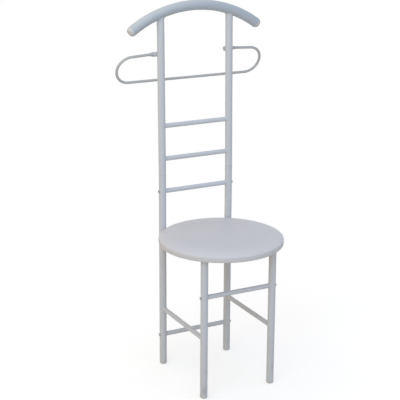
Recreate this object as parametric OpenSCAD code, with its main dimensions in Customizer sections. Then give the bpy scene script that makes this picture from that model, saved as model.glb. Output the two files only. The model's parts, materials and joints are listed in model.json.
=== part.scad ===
// Clothes valet chair: four tubular legs with a round padded seat, a tall back with three
// bars, an arch that takes a jacket like a hanger, and a wire bow for trousers that swings
// in two sleeves behind the back posts.
// Millimetres, +Z up, +X to the right seen from the front, the front faces -Y.

/* [Posts and legs] */
// Spacing of the left and right posts and legs, centre to centre
post_gap = 225; // [200:1:260]
// Distance from the rear post's axis forward to the front leg's axis
leg_depth = 272; // [240:1:300]
// Outside diameter of the posts and legs
post_d = 22; // [20:0.5:25]
// Wall of the post and leg tubes
post_wall = 1.2; // [1:0.1:1.6]
// Rise of the joint where the back posts plug into the rear posts above the lowest back bar
join_rise = 52; // [35:1:60]
// Angle at which the back posts lean backwards from that joint
back_lean = 1; // [0.5:0.25:3]
// Length of the spigot inside the rear post, below the joint
spigot_down = 78; // [70:1:100]
// Length of the spigot inside the back post, above the joint
spigot_up = 40; // [30:1:60]
// Wall of the spigot tube
spigot_wall = 1.5; // [1.2:0.1:2.5]

/* [Stretchers and bars] */
// Outside diameter of the stretchers, seat rails and back bars
rail_d = 14; // [12:0.5:16]
// Wall of those tubes
rail_wall = 1.2; // [1:0.1:1.6]
// Height of the front stretcher's axis
front_stretcher_z = 314; // [250:1:360]
// Height of the side stretchers' axis
side_stretcher_z = 185; // [130:1:230]
// Height of the rear stretcher's axis
rear_stretcher_z = 97.5; // [60:0.5:130]
// Height of the lowest back bar's axis
back_bar_z = 560; // [550:1:575]
// Spacing of the three back bars
back_bar_pitch = 99.5; // [85:0.5:110]

/* [Hanger arch] */
// Outside diameter of the arch tube
arch_d = 30; // [26:0.5:34]
// Wall of the arch tube
arch_wall = 1.5; // [1.2:0.1:2.5]
// Bend radius of the arch's centre line
arch_r = 356; // [330:1:420]
// Distance between the two cut ends of the arch tube
arch_span = 405; // [370:1:430]
// Height of the arch's centre line at its middle, before the back leans
arch_z = 1107.5; // [1080:0.5:1160]
// Length of the domed end of each arch cap
arch_dome = 13; // [8:0.5:16]
// Length of the cap's plug inside the arch tube
arch_plug = 12; // [8:1:16]

/* [Trouser bow] */
// Diameter of the bow wire
wire_d = 8; // [6:0.5:9]
// Distance from the middle to the outermost bend, on the wire's centre line
bow_reach = 237.5; // [215:0.5:260]
// Distance from the swing axis down to the lower run
bow_drop = 89; // [75:0.5:95]
// Slope of the two upper runs, downwards and outwards
bow_slope = 3.5; // [1:0.5:6]
// Angle at which the bow stands off plumb at rest
bow_tilt = 21; // [8:1:30]
// Height of the swing axis, before the back leans
pivot_z = 970; // [940:1:990]
// Outside diameter of the sleeves that hold the bow
sleeve_d = 14; // [13:0.5:16]
// Wall of the sleeves
sleeve_wall = 1.2; // [1:0.1:1.4]
// Length of a sleeve
sleeve_len = 24; // [20:1:40]
// Distance from the post's axis outwards to the sleeve's middle
sleeve_shift = 6; // [3:1:14]
// Running clearance of the wire in its bush, on the radius
bow_clear = 0.05; // [0.02:0.01:0.1]
// Length of the bush's tapered nose outside the sleeve
bush_nose = 9; // [3:1:14]

/* [Seat] */
// Diameter of the padded seat
seat_d = 370; // [350:1:380]
// Height of the top of the seat at its middle
seat_h = 460; // [440:1:480]
// Thickness of the seat at its shoulder
seat_rim = 26; // [24:0.5:34]
// Rise of the seat's middle above its shoulder
seat_crown = 3; // [0:0.5:8]
// Width over which the top rolls down to the side
shoulder_w = 60; // [20:1:80]
// Radius of the lower corner, where the cover turns under
under_r = 4; // [3:0.5:8]
// Straight height of the seat's side above the lower corner
side_h = 10; // [4:0.5:12]
// Gap between the seat's edge and the rear posts
seat_gap = 2; // [1:0.5:6]
// Thickness of the seat's cover
cover_t = 0.9; // [0.6:0.1:1.5]
// Width of the cover's hem under the board
hem_w = 25; // [15:1:35]
// Thickness of the board inside the seat
board_t = 9; // [8:0.5:12]
// Distance from the seat's edge in to the board's edge
board_inset = 9; // [8:0.5:14]
// Distance from the front leg's face along the rail to the front seat screw
seat_screw_inset = 45; // [35:1:60]
// Distance from the hem's inner edge in to the rear seat screw
seat_screw_margin = 8; // [5:1:20]
// Number of staples that hold the hem
staple_count = 24; // [16:8:40]

/* [Feet and fasteners] */
// Visible height of a foot
foot_h = 11; // [8:0.5:16]
// Radius of the foot's bottom edge
foot_r = 5; // [2:0.5:6]
// Length of a foot's plug inside its tube
foot_plug = 18; // [12:1:25]
// Thickness of the plug's flange on top of each front leg
leg_flange = 2; // [1:0.5:4]
// Diameter of the frame bolts
bolt_d = 6; // [5:0.5:6.5]
// Diameter of the bolt heads
bolt_head_d = 9.5; // [8.5:0.5:11]
// Height of the bolt heads
bolt_head_h = 2.6; // [2.4:0.1:4]
// Width across the flats of the bolt's hexagon socket
bolt_socket = 4; // [3:0.5:5]
// Length of the threaded plugs inside the bolted tubes
nut_len = 17; // [14:1:25]
// Diameter of the seat screws
screw_d = 4; // [3.5:0.5:5]
// Diameter of the seat screws' heads
screw_head_d = 8; // [7:0.5:10]
// Height of the seat screws' heads
screw_head_h = 2.4; // [2:0.2:3.5]

/* [Hidden] */
$fn = 64;

left = -1;
right = 1;

// Extra depth of a cut past the face that it opens
cut = 1;
// How far a straight length runs into the bend beside it, and how much thinner it is
lap = 0.2;
hair = 0.01;
// Gap that stands for the weld line where a tube is coped to a round tube
weld_gap = 0.1;
// Clearance of plugs and spigots in their tubes, on the radius
plug_clear = 0.15;
// Clearance of the spigot where it is pressed into the back post, on the radius
press_clear = 0.05;
// Clearance of the straight cap plug in the bent arch tube, on the radius
cap_clear = 0.35;
// Clearance of the frame bolts in the tubes, on the radius
hole_clear = 0.25;
// Clearance that stands for the thread, on the radius
thread_clear = 0.05;
// Gap between the seat's soft layers and what they cover
pad_gap = 0.3;
// Gap between the leaning back post and the rear post at their joint, at the middle
joint_gap = 0.4;
// How far the spigot's lower half runs into its upper half
spigot_lap = 1;
// Overlap of the flat parts of one section
section_lap = 0.01;
// Straight height of a screw's or bolt's head below its rounded edge
head_rim = 0.6;
// Wood left over the tip of a seat screw, and how far its hole runs past the tip
screw_cover = 2;
screw_tip_gap = 0.5;
// How far a frame bolt stops short of the threaded plug's inner end
bolt_short = 3;
// Depth and height of the groove where a plastic end meets its tube
seam = 0.4;

join_z = back_bar_z + join_rise;
post_bore = post_d - 2 * post_wall;
rail_bore = rail_d - 2 * rail_wall;
post_x = post_gap / 2;
bolt_hole_d = bolt_d + 2 * hole_clear;

// The seat's edge stays clear of both rear posts
seat_r = seat_d / 2;
seat_y = -sqrt(pow(seat_r + post_d / 2 + seat_gap, 2) - pow(post_x, 2));
seat_z = seat_h - seat_crown - seat_rim;
rail_z = seat_z - rail_d / 2;
board_r = seat_r - board_inset;
board_z = cover_t;
screw_grip = board_z + board_t - screw_cover;

// The arch: half its angle and where its middle of curvature lies
arch_half = asin(arch_span / 2 / arch_r);
arch_centre_z = arch_z - arch_r;

// The swing axis of the bow, in the leaning back and in the upright frame
sleeve_x = post_x + sleeve_shift;
sleeve_y = (post_d + sleeve_d) / 2 + weld_gap;
sleeve_bore = sleeve_d - 2 * sleeve_wall;
pivot_y = sleeve_y * cos(back_lean) + (pivot_z - join_z) * sin(back_lean);
pivot_h = join_z + (pivot_z - join_z) * cos(back_lean) - sleeve_y * sin(back_lean);

// The bushes carry a flange at the sleeve's outer end and a nose beyond it, and a domed cap
// closes the sleeve's inner end
bush_flange = 1.2;
bush_nose_wall = 0.8;
sleeve_dome = 2.5;
sleeve_dome_rim = 0.2;
sleeve_cap_plug = 5;
// Gap between the plug of that cap and the bush, where the wire ends too
bush_gap = 1;
// Straight wire between the bush's nose and the wire's first bend
knee_gap = 2;
wire_start = sleeve_x - sleeve_len / 2 + sleeve_cap_plug + bush_gap;
knee_x = sleeve_x + sleeve_len / 2 + bush_flange + bush_nose + knee_gap;

// The bow's loop: the knee beside the sleeve, the sloping run, and the bend that turns it
// back into the lower run at the given drop
knee_r = 25;
slope_start_x = knee_x + knee_r * sin(bow_slope);
bow_bend = (bow_drop - knee_r * (1 - cos(bow_slope))
    - (bow_reach - slope_start_x) * tan(bow_slope))
    / (1 + cos(bow_slope) - tan(bow_slope) * (1 - sin(bow_slope)));
bend_x = bow_reach - bow_bend;
slope_end_x = bend_x + bow_bend * sin(bow_slope);
slope_len = (slope_end_x - slope_start_x) / cos(bow_slope);

// The origin lies on the floor, under the middle of the object's box
y_front = seat_y - seat_r;
y_back = pivot_y + bow_drop * sin(bow_tilt) + wire_d / 2;
origin_y = -(y_front + y_back) / 2;

paint = [0.86, 0.87, 0.90];
white_plastic = [0.90, 0.90, 0.91];
grey_plastic = [0.50, 0.51, 0.52];
vinyl = [0.85, 0.85, 0.88];
steel = [0.55, 0.56, 0.58];
black_steel = [0.22, 0.22, 0.23];
plywood = [0.80, 0.66, 0.46];
foam_yellow = [0.93, 0.88, 0.70];

// ---- Placing ----

// The legs, the seat and the rear posts stand upright
module upright() {
    translate([0, origin_y, 0]) children();
}

// The back frame turns about the joint of the posts
module leaning() {
    translate([0, origin_y, join_z])
        rotate([-back_lean, 0, 0])
            translate([0, 0, -join_z])
                children();
}

// The bow's own frame: its swing axis along X, the bow hanging along -Z
module swinging() {
    translate([0, origin_y + pivot_y, pivot_h])
        rotate([bow_tilt, 0, 0])
            children();
}

// ---- Shared shapes ----

// A tube along +Z from the origin
module tube(d, wall, length) {
    difference() {
        cylinder(d = d, h = length);
        translate([0, 0, -cut]) cylinder(d = d - 2 * wall, h = length + 2 * cut);
    }
}

// A rod along X through the origin
module x_rod(d, length) {
    rotate([0, 90, 0]) cylinder(d = d, h = length, center = true);
}

// A tube along X with both ends coped to the upright tubes at the posts' spacing
module cross_tube() {
    difference() {
        x_rod(rail_d, post_gap);
        x_rod(rail_bore, post_gap + 2 * cut);
        for (side = [left, right])
            translate([side * post_x, 0, 0])
                cylinder(d = post_d + 2 * weld_gap, h = 2 * rail_d, center = true);
    }
}

// A tube along Y between a rear post and a front leg, with both ends coped
module side_tube(side, z) {
    translate([side * post_x, 0, z])
        difference() {
            rotate([90, 0, 0]) cylinder(d = rail_d, h = leg_depth);
            translate([0, cut, 0]) rotate([90, 0, 0]) cylinder(d = rail_bore, h = leg_depth + 2 * cut);
            for (y = [0, -leg_depth])
                translate([0, y, 0])
                    cylinder(d = post_d + 2 * weld_gap, h = 2 * rail_d, center = true);
        }
}

// A hole along X through an upright tube at the given height
module bolt_hole(z) {
    translate([0, 0, z]) x_rod(bolt_hole_d, 2 * post_d);
}

// A turned shape with a rounded end: the half section of a disc with one rounded edge
module rounded_end(d, height, edge) {
    rotate_extrude() {
        translate([0, edge]) square([d / 2, height - edge]);
        square([d / 2 - edge, edge + section_lap]);
        intersection() {
            translate([d / 2 - edge, edge]) circle(r = edge);
            translate([d / 2 - edge, 0]) square([edge, edge + section_lap]);
        }
    }
}

// ---- Posts, legs and their joints ----

module rear_post(side) {
    upright()
        translate([side * post_x, 0, 0])
            difference() {
                translate([0, 0, foot_h]) tube(post_d, post_wall, join_z - foot_h);
                bolt_hole(rear_stretcher_z);
                bolt_hole(back_bar_z);
            }
}

module rear_post_left() { color(paint) rear_post(left); }
module rear_post_right() { color(paint) rear_post(right); }

module front_leg(side) {
    upright()
        translate([side * post_x, -leg_depth, 0])
            difference() {
                translate([0, 0, foot_h])
                    tube(post_d, post_wall, seat_z - leg_flange - foot_h);
                bolt_hole(front_stretcher_z);
            }
}

module front_leg_left() { color(paint) front_leg(left); }
module front_leg_right() { color(paint) front_leg(right); }

// The back post's top is coped to the underside of the arch
module back_post(side) {
    leaning()
        difference() {
            translate([side * post_x, 0, join_z + joint_gap])
                tube(post_d, post_wall, arch_z - join_z - arch_d / 2);
            arch_shape(arch_d + 2 * weld_gap);
        }
}

module back_post_left() { color(paint) back_post(left); }
module back_post_right() { color(paint) back_post(right); }

// The spigot slides into the rear post, is pressed into the back post and turns with it at
// the joint, where its lower half runs a little way into the upper
module spigot_shape(wall, extra) {
    translate([0, 0, join_z - spigot_down - extra])
        cylinder(d = post_bore - 2 * plug_clear - 2 * wall, h = spigot_down + extra + spigot_lap);
    translate([0, 0, join_z])
        rotate([-back_lean, 0, 0])
            cylinder(d = post_bore - 2 * press_clear - 2 * wall, h = spigot_up + extra);
}

module post_spigot(side) {
    upright()
        translate([side * post_x, 0, 0])
            difference() {
                spigot_shape(0, 0);
                spigot_shape(spigot_wall, cut);
                bolt_hole(back_bar_z);
            }
}

module post_spigot_left() { color(steel) post_spigot(left); }
module post_spigot_right() { color(steel) post_spigot(right); }

// ---- Stretchers, rails and bars ----

module side_stretcher_left() { color(paint) upright() side_tube(left, side_stretcher_z); }
module side_stretcher_right() { color(paint) upright() side_tube(right, side_stretcher_z); }

// The seat rails carry the seat and are drilled for its screws
module seat_rail(side) {
    upright()
        difference() {
            side_tube(side, rail_z);
            seat_screw_places(side)
                translate([0, 0, -2 * rail_d])
                    cylinder(d = screw_d + 2 * hole_clear, h = 3 * rail_d);
        }
}

module seat_rail_left() { color(paint) seat_rail(left); }
module seat_rail_right() { color(paint) seat_rail(right); }

module front_stretcher() {
    color(paint) upright() translate([0, -leg_depth, front_stretcher_z]) cross_tube();
}

module rear_stretcher() {
    color(paint) upright() translate([0, 0, rear_stretcher_z]) cross_tube();
}

module lower_back_bar() {
    color(paint) upright() translate([0, 0, back_bar_z]) cross_tube();
}

module middle_back_bar() {
    color(paint) leaning() translate([0, 0, back_bar_z + back_bar_pitch]) cross_tube();
}

module upper_back_bar() {
    color(paint) leaning() translate([0, 0, back_bar_z + 2 * back_bar_pitch]) cross_tube();
}

// ---- Hanger arch ----

// A bent rod of the given diameter on the arch's centre line
module arch_shape(d) {
    translate([0, 0, arch_centre_z])
        rotate([90, 0, 0])
            rotate([0, 0, 90 - arch_half])
                rotate_extrude(angle = 2 * arch_half)
                    translate([arch_r, 0]) circle(d = d);
}

module hanger_arch() {
    color(paint)
        leaning()
            translate([0, 0, arch_centre_z])
                rotate([90, 0, 0])
                    rotate([0, 0, 90 - arch_half])
                        rotate_extrude(angle = 2 * arch_half)
                            translate([arch_r, 0])
                                difference() {
                                    circle(d = arch_d);
                                    circle(d = arch_d - 2 * arch_wall);
                                }
}

// The cap's half section: a plug in the tube, a groove and a blunt dome. The powers make the
// dome fuller than an ellipse, across and along
module cap_section() {
    plug_r = arch_d / 2 - arch_wall - cap_clear;
    groove_r = arch_d / 2 - seam;
    dome_steps = 12;
    across = 0.8;
    along = 0.9;
    polygon(concat(
        [[0, -arch_plug], [plug_r, -arch_plug], [plug_r, 0], [groove_r, 0], [groove_r, seam]],
        [for (i = [0 : dome_steps])
            let (a = 90 * i / dome_steps)
            [arch_d / 2 * pow(cos(a), across), seam + (arch_dome - seam) * pow(sin(a), along)]]
    ));
}

module arch_cap(side) {
    leaning()
        translate([0, 0, arch_centre_z])
            rotate([0, side * arch_half, 0])
                translate([0, 0, arch_r])
                    rotate([0, side * 90, 0])
                        rotate_extrude() cap_section();
}

module arch_cap_left() { color(white_plastic) arch_cap(left); }
module arch_cap_right() { color(white_plastic) arch_cap(right); }

// ---- Trouser bow, its sleeves and bushes ----

module bow_sleeve(side) {
    leaning()
        translate([side * sleeve_x, sleeve_y, pivot_z])
            difference() {
                x_rod(sleeve_d, sleeve_len);
                x_rod(sleeve_bore, sleeve_len + 2 * cut);
            }
}

module bow_sleeve_left() { color(paint) bow_sleeve(left); }
module bow_sleeve_right() { color(paint) bow_sleeve(right); }

// The bush lines the sleeve from its outer end up to the cap's plug, and its nose narrows
// towards the wire
module bow_bush(side) {
    bush_len = sleeve_len - sleeve_cap_plug - bush_gap;
    head_len = bush_flange + bush_nose;
    leaning()
        translate([side * (sleeve_x + sleeve_len / 2), sleeve_y, pivot_z])
            rotate([0, side * 90, 0])
                difference() {
                    union() {
                        cylinder(d = sleeve_d, h = bush_flange);
                        translate([0, 0, bush_flange])
                            cylinder(d1 = sleeve_bore, d2 = wire_d + 2 * bush_nose_wall, h = bush_nose);
                        translate([0, 0, -bush_len])
                            cylinder(d = sleeve_bore - 2 * thread_clear, h = bush_len);
                    }
                    translate([0, 0, -bush_len - cut])
                        cylinder(d = wire_d + 2 * bow_clear, h = bush_len + head_len + 2 * cut);
                }
}

module bow_bush_left() { color(grey_plastic) bow_bush(left); }
module bow_bush_right() { color(grey_plastic) bow_bush(right); }

// A domed cap closes the inner end of each sleeve
module sleeve_caps() {
    color(white_plastic)
        leaning()
            for (side = [left, right])
                translate([side * (sleeve_x - sleeve_len / 2), sleeve_y, pivot_z])
                    rotate([0, -side * 90, 0]) {
                        translate([0, 0, sleeve_dome])
                            mirror([0, 0, 1])
                                rounded_end(sleeve_d, sleeve_dome, sleeve_dome - sleeve_dome_rim);
                        translate([0, 0, -sleeve_cap_plug])
                            cylinder(d = sleeve_bore - 2 * plug_clear, h = sleeve_cap_plug);
                    }
}

// A straight length of wire along +Z; what is bent on to it follows at its end. It runs a lap
// into the bends beside it, and is a hair thinner than they are
module wire_straight(length) {
    translate([0, 0, -lap]) cylinder(d = wire_d - 2 * hair, h = length + 2 * lap);
    translate([0, 0, length]) children();
}

// A bend of the wire that starts along +Z and turns towards -X; what is bent on to it follows
// at its end
module wire_turn(radius, angle) {
    translate([-radius, 0, 0]) {
        rotate([90, 0, 0])
            rotate_extrude(angle = angle)
                translate([radius, 0]) circle(d = wire_d);
        rotate([0, -angle, 0]) translate([radius, 0, 0]) children();
    }
}

// The wire is bent from its left end round to its right end
module trouser_bow() {
    end_len = knee_x - wire_start;
    color(paint)
        swinging()
            translate([-wire_start, 0, 0])
                rotate([0, -90, 0])
                    wire_straight(end_len)
                    wire_turn(knee_r, bow_slope)
                    wire_straight(slope_len)
                    wire_turn(bow_bend, 180 - bow_slope)
                    wire_straight(2 * bend_x)
                    wire_turn(bow_bend, 180 - bow_slope)
                    wire_straight(slope_len)
                    wire_turn(knee_r, bow_slope)
                    wire_straight(end_len);
}

// ---- Seat ----

// The cover's outline from the hem round the nose to the middle of the top, as points of
// radius and height above the seat's underside, drawn in by an inset. Its side stands straight
// between the lower corner and the shoulder
function seat_outline(inset) =
    let (
        r = seat_r - inset,
        corner = under_r - inset,
        nose_z = under_r + side_h,
        shoulder_z = seat_rim - inset,
        shoulder_r = r - shoulder_w,
        corner_steps = 4,
        shoulder_steps = 9,
        crown_steps = 5
    )
    concat(
        [for (i = [0 : corner_steps])
            let (a = 90 * i / corner_steps)
            [r - corner * (1 - sin(a)), under_r - corner * cos(a)]],
        [for (i = [0 : shoulder_steps])
            let (a = 90 * i / shoulder_steps)
            [shoulder_r + shoulder_w * cos(a), nose_z + (shoulder_z - nose_z) * sin(a)]],
        [for (i = [1 : crown_steps])
            let (u = 1 - i / crown_steps)
            [shoulder_r * u, shoulder_z + seat_crown * (1 + cos(180 * u)) / 2]]
    );

function reversed(points) = [for (i = [len(points) - 1 : -1 : 0]) points[i]];

module seat_cover() {
    hem_r = seat_r - hem_w;
    color(vinyl)
        upright()
            translate([0, seat_y, seat_z])
                rotate_extrude()
                    polygon(concat(
                        [[hem_r, cover_t], [hem_r, 0]],
                        seat_outline(0),
                        reversed(seat_outline(cover_t))
                    ));
}

// The foam lies on the board and laps over its edge
module seat_foam() {
    inset = cover_t + pad_gap;
    color(foam_yellow)
        upright()
            translate([0, seat_y, seat_z])
                difference() {
                    rotate_extrude()
                        polygon(concat([[0, inset]], seat_outline(inset)));
                    cylinder(r = board_r + pad_gap, h = board_z + board_t + pad_gap);
                }
}

module seat_board() {
    color(plywood)
        upright()
            difference() {
                translate([0, seat_y, seat_z + board_z]) cylinder(r = board_r, h = board_t);
                for (side = [left, right])
                    seat_screw_places(side)
                        cylinder(d = screw_d + 2 * thread_clear, h = screw_grip + screw_tip_gap);
            }
}

// The places of the seat screws: over the rail, at the height of the seat's underside. The
// front one keeps clear of the leg, and the rear one of the cover's hem
module seat_screw_places(side) {
    front_y = post_d / 2 + seat_screw_inset - leg_depth;
    screw_ring_r = seat_r - hem_w - seat_screw_margin;
    rear_y = seat_y + sqrt(pow(screw_ring_r, 2) - pow(post_x, 2));
    for (y = [front_y, rear_y])
        translate([side * post_x, y, seat_z])
            children();
}

// Each screw is pushed up through its rail into the board
module seat_screws() {
    color(steel)
        upright()
            for (side = [left, right])
                seat_screw_places(side)
                    translate([0, 0, -rail_d]) {
                        cylinder(d = screw_d, h = rail_d + screw_grip);
                        translate([0, 0, -screw_head_h])
                            rounded_end(screw_head_d, screw_head_h, screw_head_h - head_rim);
                    }
}

// Only the staples' crowns lie outside the board
module seat_staples() {
    staple = [10, 1.2, 0.7];
    color(steel)
        upright()
            translate([0, seat_y, seat_z - staple.z])
                for (i = [0 : staple_count - 1])
                    rotate([0, 0, 360 * i / staple_count])
                        translate([-staple.x / 2, seat_r - hem_w / 2, 0]) cube(staple);
}

// ---- Feet, plugs and fasteners ----

// A foot has a rounded bottom, a groove below the tube and a plug in it
module foot(side, y) {
    upright()
        translate([side * post_x, y, 0]) {
            rounded_end(post_d, foot_h - seam, foot_r);
            translate([0, 0, foot_h - seam]) cylinder(d = post_d - 2 * seam, h = seam);
            translate([0, 0, foot_h]) cylinder(d = post_bore - 2 * plug_clear, h = foot_plug);
        }
}

module foot_rear_left() { color(white_plastic) foot(left, 0); }
module foot_rear_right() { color(white_plastic) foot(right, 0); }
module foot_front_left() { color(white_plastic) foot(left, -leg_depth); }
module foot_front_right() { color(white_plastic) foot(right, -leg_depth); }

module leg_plugs() {
    color(white_plastic)
        upright()
            for (side = [left, right])
                translate([side * post_x, -leg_depth, seat_z - leg_flange]) {
                    cylinder(d = post_d, h = leg_flange);
                    translate([0, 0, -foot_plug])
                        cylinder(d = post_bore - 2 * plug_clear, h = foot_plug);
                }
}

// The six places where a cross tube is bolted between two uprights, with +Z pointing out of
// the post on either side and the origin on the post's outer face
module bolt_places() {
    for (place = [[-leg_depth, front_stretcher_z], [0, rear_stretcher_z], [0, back_bar_z]])
        for (side = [left, right])
            translate([side * (post_x + post_d / 2), place.x, place.y])
                rotate([0, side * 90, 0])
                    children();
}

module frame_bolts() {
    bolt_len = post_d + nut_len - bolt_short;
    socket_depth = 0.6 * bolt_head_h;
    color(black_steel)
        upright()
            bolt_places()
                difference() {
                    union() {
                        translate([0, 0, bolt_head_h])
                            mirror([0, 0, 1])
                                rounded_end(bolt_head_d, bolt_head_h, bolt_head_h - head_rim);
                        translate([0, 0, -bolt_len]) cylinder(d = bolt_d, h = bolt_len);
                    }
                    translate([0, 0, bolt_head_h - socket_depth])
                        cylinder(d = bolt_socket / cos(30), h = socket_depth + cut, $fn = 6);
                }
}

// The threaded plugs are fixed inside the ends of the bolted tubes
module tube_nuts() {
    color(steel)
        upright()
            bolt_places()
                translate([0, 0, -post_d - nut_len])
                    difference() {
                        cylinder(d = rail_bore - 2 * thread_clear, h = nut_len - weld_gap);
                        translate([0, 0, -cut])
                            cylinder(d = bolt_d + 2 * thread_clear, h = nut_len + 2 * cut);
                    }
}

rear_post_left();
rear_post_right();
front_leg_left();
front_leg_right();
seat_rail_left();
seat_rail_right();
side_stretcher_left();
side_stretcher_right();
front_stretcher();
rear_stretcher();
lower_back_bar();
middle_back_bar();
upper_back_bar();
back_post_left();
back_post_right();
post_spigot_left();
post_spigot_right();
hanger_arch();
arch_cap_left();
arch_cap_right();
bow_sleeve_left();
bow_sleeve_right();
bow_bush_left();
bow_bush_right();
sleeve_caps();
trouser_bow();
seat_board();
seat_foam();
seat_cover();
seat_staples();
seat_screws();
frame_bolts();
tube_nuts();
leg_plugs();
foot_rear_left();
foot_rear_right();
foot_front_left();
foot_front_right();
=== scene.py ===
"""Dresses a clothes valet chair: painted tubes, weld beads, plastic caps, bow wire and seat."""

import json
import math

import bmesh
import bpy
from bpy.props import FloatProperty, FloatVectorProperty, IntProperty, PointerProperty
from bpy.types import Operator, Panel, PropertyGroup
from mathutils import Matrix, Vector, noise


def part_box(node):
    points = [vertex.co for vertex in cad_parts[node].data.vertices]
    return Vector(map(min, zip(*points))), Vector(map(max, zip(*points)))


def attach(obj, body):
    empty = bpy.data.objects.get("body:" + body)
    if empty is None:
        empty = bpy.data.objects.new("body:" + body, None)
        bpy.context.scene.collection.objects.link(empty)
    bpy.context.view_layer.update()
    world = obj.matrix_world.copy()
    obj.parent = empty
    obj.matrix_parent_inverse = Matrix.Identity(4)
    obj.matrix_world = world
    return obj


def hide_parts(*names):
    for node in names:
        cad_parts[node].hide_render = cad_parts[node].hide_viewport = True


bl_info = {
    "name": "Clothes valet chair",
    "version": (1, 0, 0),
    "blender": (4, 5, 0),
    "location": "3D View > Sidebar > Valet chair",
    "description": "Builds the visible surfaces of a clothes valet chair on its packed frame",
    "category": "Object",
}

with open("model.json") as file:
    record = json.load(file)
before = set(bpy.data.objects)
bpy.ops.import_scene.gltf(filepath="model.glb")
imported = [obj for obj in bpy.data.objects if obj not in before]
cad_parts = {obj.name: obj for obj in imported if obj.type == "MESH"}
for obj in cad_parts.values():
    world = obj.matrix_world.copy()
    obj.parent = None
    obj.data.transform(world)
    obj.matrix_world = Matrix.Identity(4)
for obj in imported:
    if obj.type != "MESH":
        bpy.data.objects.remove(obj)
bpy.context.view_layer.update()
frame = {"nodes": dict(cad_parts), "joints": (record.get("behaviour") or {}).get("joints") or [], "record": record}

MM = 0.001
SIDES = {"left": -1, "right": 1}
RIGHT = Vector((1, 0, 0))
REAR = Vector((0, 1, 0))
UP = Vector((0, 0, 1))


# ---- Places taken from the frame ----


def middle(node):
    """The middle of a node's box."""
    low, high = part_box(node)
    return (low + high) / 2


def size(node):
    """The three sides of a node's box."""
    low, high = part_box(node)
    return high - low


POST_X = middle("rear_post_right").x
POST_R = size("rear_post_right").x / 2
POST_Y = middle("rear_post_right").y
LEG_Y = middle("front_leg_right").y
BAR_R = size("front_stretcher").z / 2
SLEEVE_R = size("bow_sleeve_right").z / 2
ARCH_R = size("hanger_arch").y / 2
SEAT_MIDDLE = middle("seat_cover")
SEAT_R = size("seat_cover").x / 2
SEAT_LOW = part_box("seat_cover")[0].z
SEAT_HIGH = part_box("seat_cover")[1].z
BOW_PIVOT = Vector(frame["joints"][0]["pos_m"])
FLOOR_Z = 0.0

# The back leans: its own upward direction runs through the two welded back bars
BACK_UP = (middle("upper_back_bar") - middle("middle_back_bar")).normalized()
BACK_REAR = BACK_UP.cross(RIGHT)


# ---- Settings that a user may change ----


def length(name, text, default):
    """A length in metres."""
    return FloatProperty(name=name, description=text, default=default, unit="LENGTH", precision=5)


def angle(name, text, degrees):
    """An angle, given in degrees and kept in radians."""
    return FloatProperty(name=name, description=text, default=math.radians(degrees), unit="ROTATION")


def amount(name, text, default, **limits):
    """A plain number from 0 up."""
    return FloatProperty(name=name, description=text, default=default, min=0, **limits)


def colour(name, text, default):
    """A linear colour."""
    return FloatVectorProperty(name=name, description=text, default=default, subtype="COLOR", min=0, max=1)


class FrameFinish(PropertyGroup):
    """Colours of the frame's finishes, and the lacquer's gloss"""

    paint: colour("Paint", "Colour of the lacquered steel tubes", (0.625, 0.629, 0.643))
    # The tubes' paint, made darker and bluer here to paint the shade and the bluish light that fall on the arch
    arch: colour("Arch paint", "Colour of the lacquered hanger arch", (0.476, 0.516, 0.557))
    wire: colour("Bow wire", "Colour of the lacquered trouser bow", (0.520, 0.515, 0.500))
    # Besides rubbed and dusty paint, this colour also paints shade on the lower tubes
    grime_and_shade: colour("Grime", "Colour of rubbed and dusty paint", (0.40, 0.39, 0.37))
    plastic: colour("Plastic", "Colour of the arch's caps, the plugs and the feet", (0.620, 0.608, 0.584))
    # The sleeves' caps are white plastic; they take this grey as painted shade beside the posts
    bush: colour("Bush", "Colour of the bow's bushes and the sleeves' caps", (0.50, 0.51, 0.52))
    bolt: colour("Bolts", "Colour of the bolt heads", (0.46, 0.46, 0.47))
    steel: colour("Zinc plate", "Colour of screws, nuts, spigots and staples", (0.56, 0.57, 0.58))
    gloss: amount("Paint roughness", "Roughness of the lacquer", 0.36, max=1)


class WeldSizes(PropertyGroup):
    """Sizes of the weld beads"""

    bead: length("Bead", "Radius of a weld bead", 1.25 * MM)
    ripple: length("Ripple", "Spacing of a bead's ripples", 1.9 * MM)
    arch_bend: length("Arch bend", "Bend radius of the arch's centre line", 356 * MM)
    pad: length("Sleeve weld", "Radius of the weld ring between sleeve and post", 3.6 * MM)


class BowSizes(PropertyGroup):
    """Sizes of the trouser bow"""

    wire: length("Wire", "Diameter of the bow wire", 8 * MM)
    knee: length("Knee", "Bend radius beside the sleeves", 25 * MM)
    slope: angle("Slope", "Slope of the two upper runs", 3.5)
    knee_gap: length("Straight end", "Straight wire outside the bush before the knee", 2 * MM)


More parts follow.
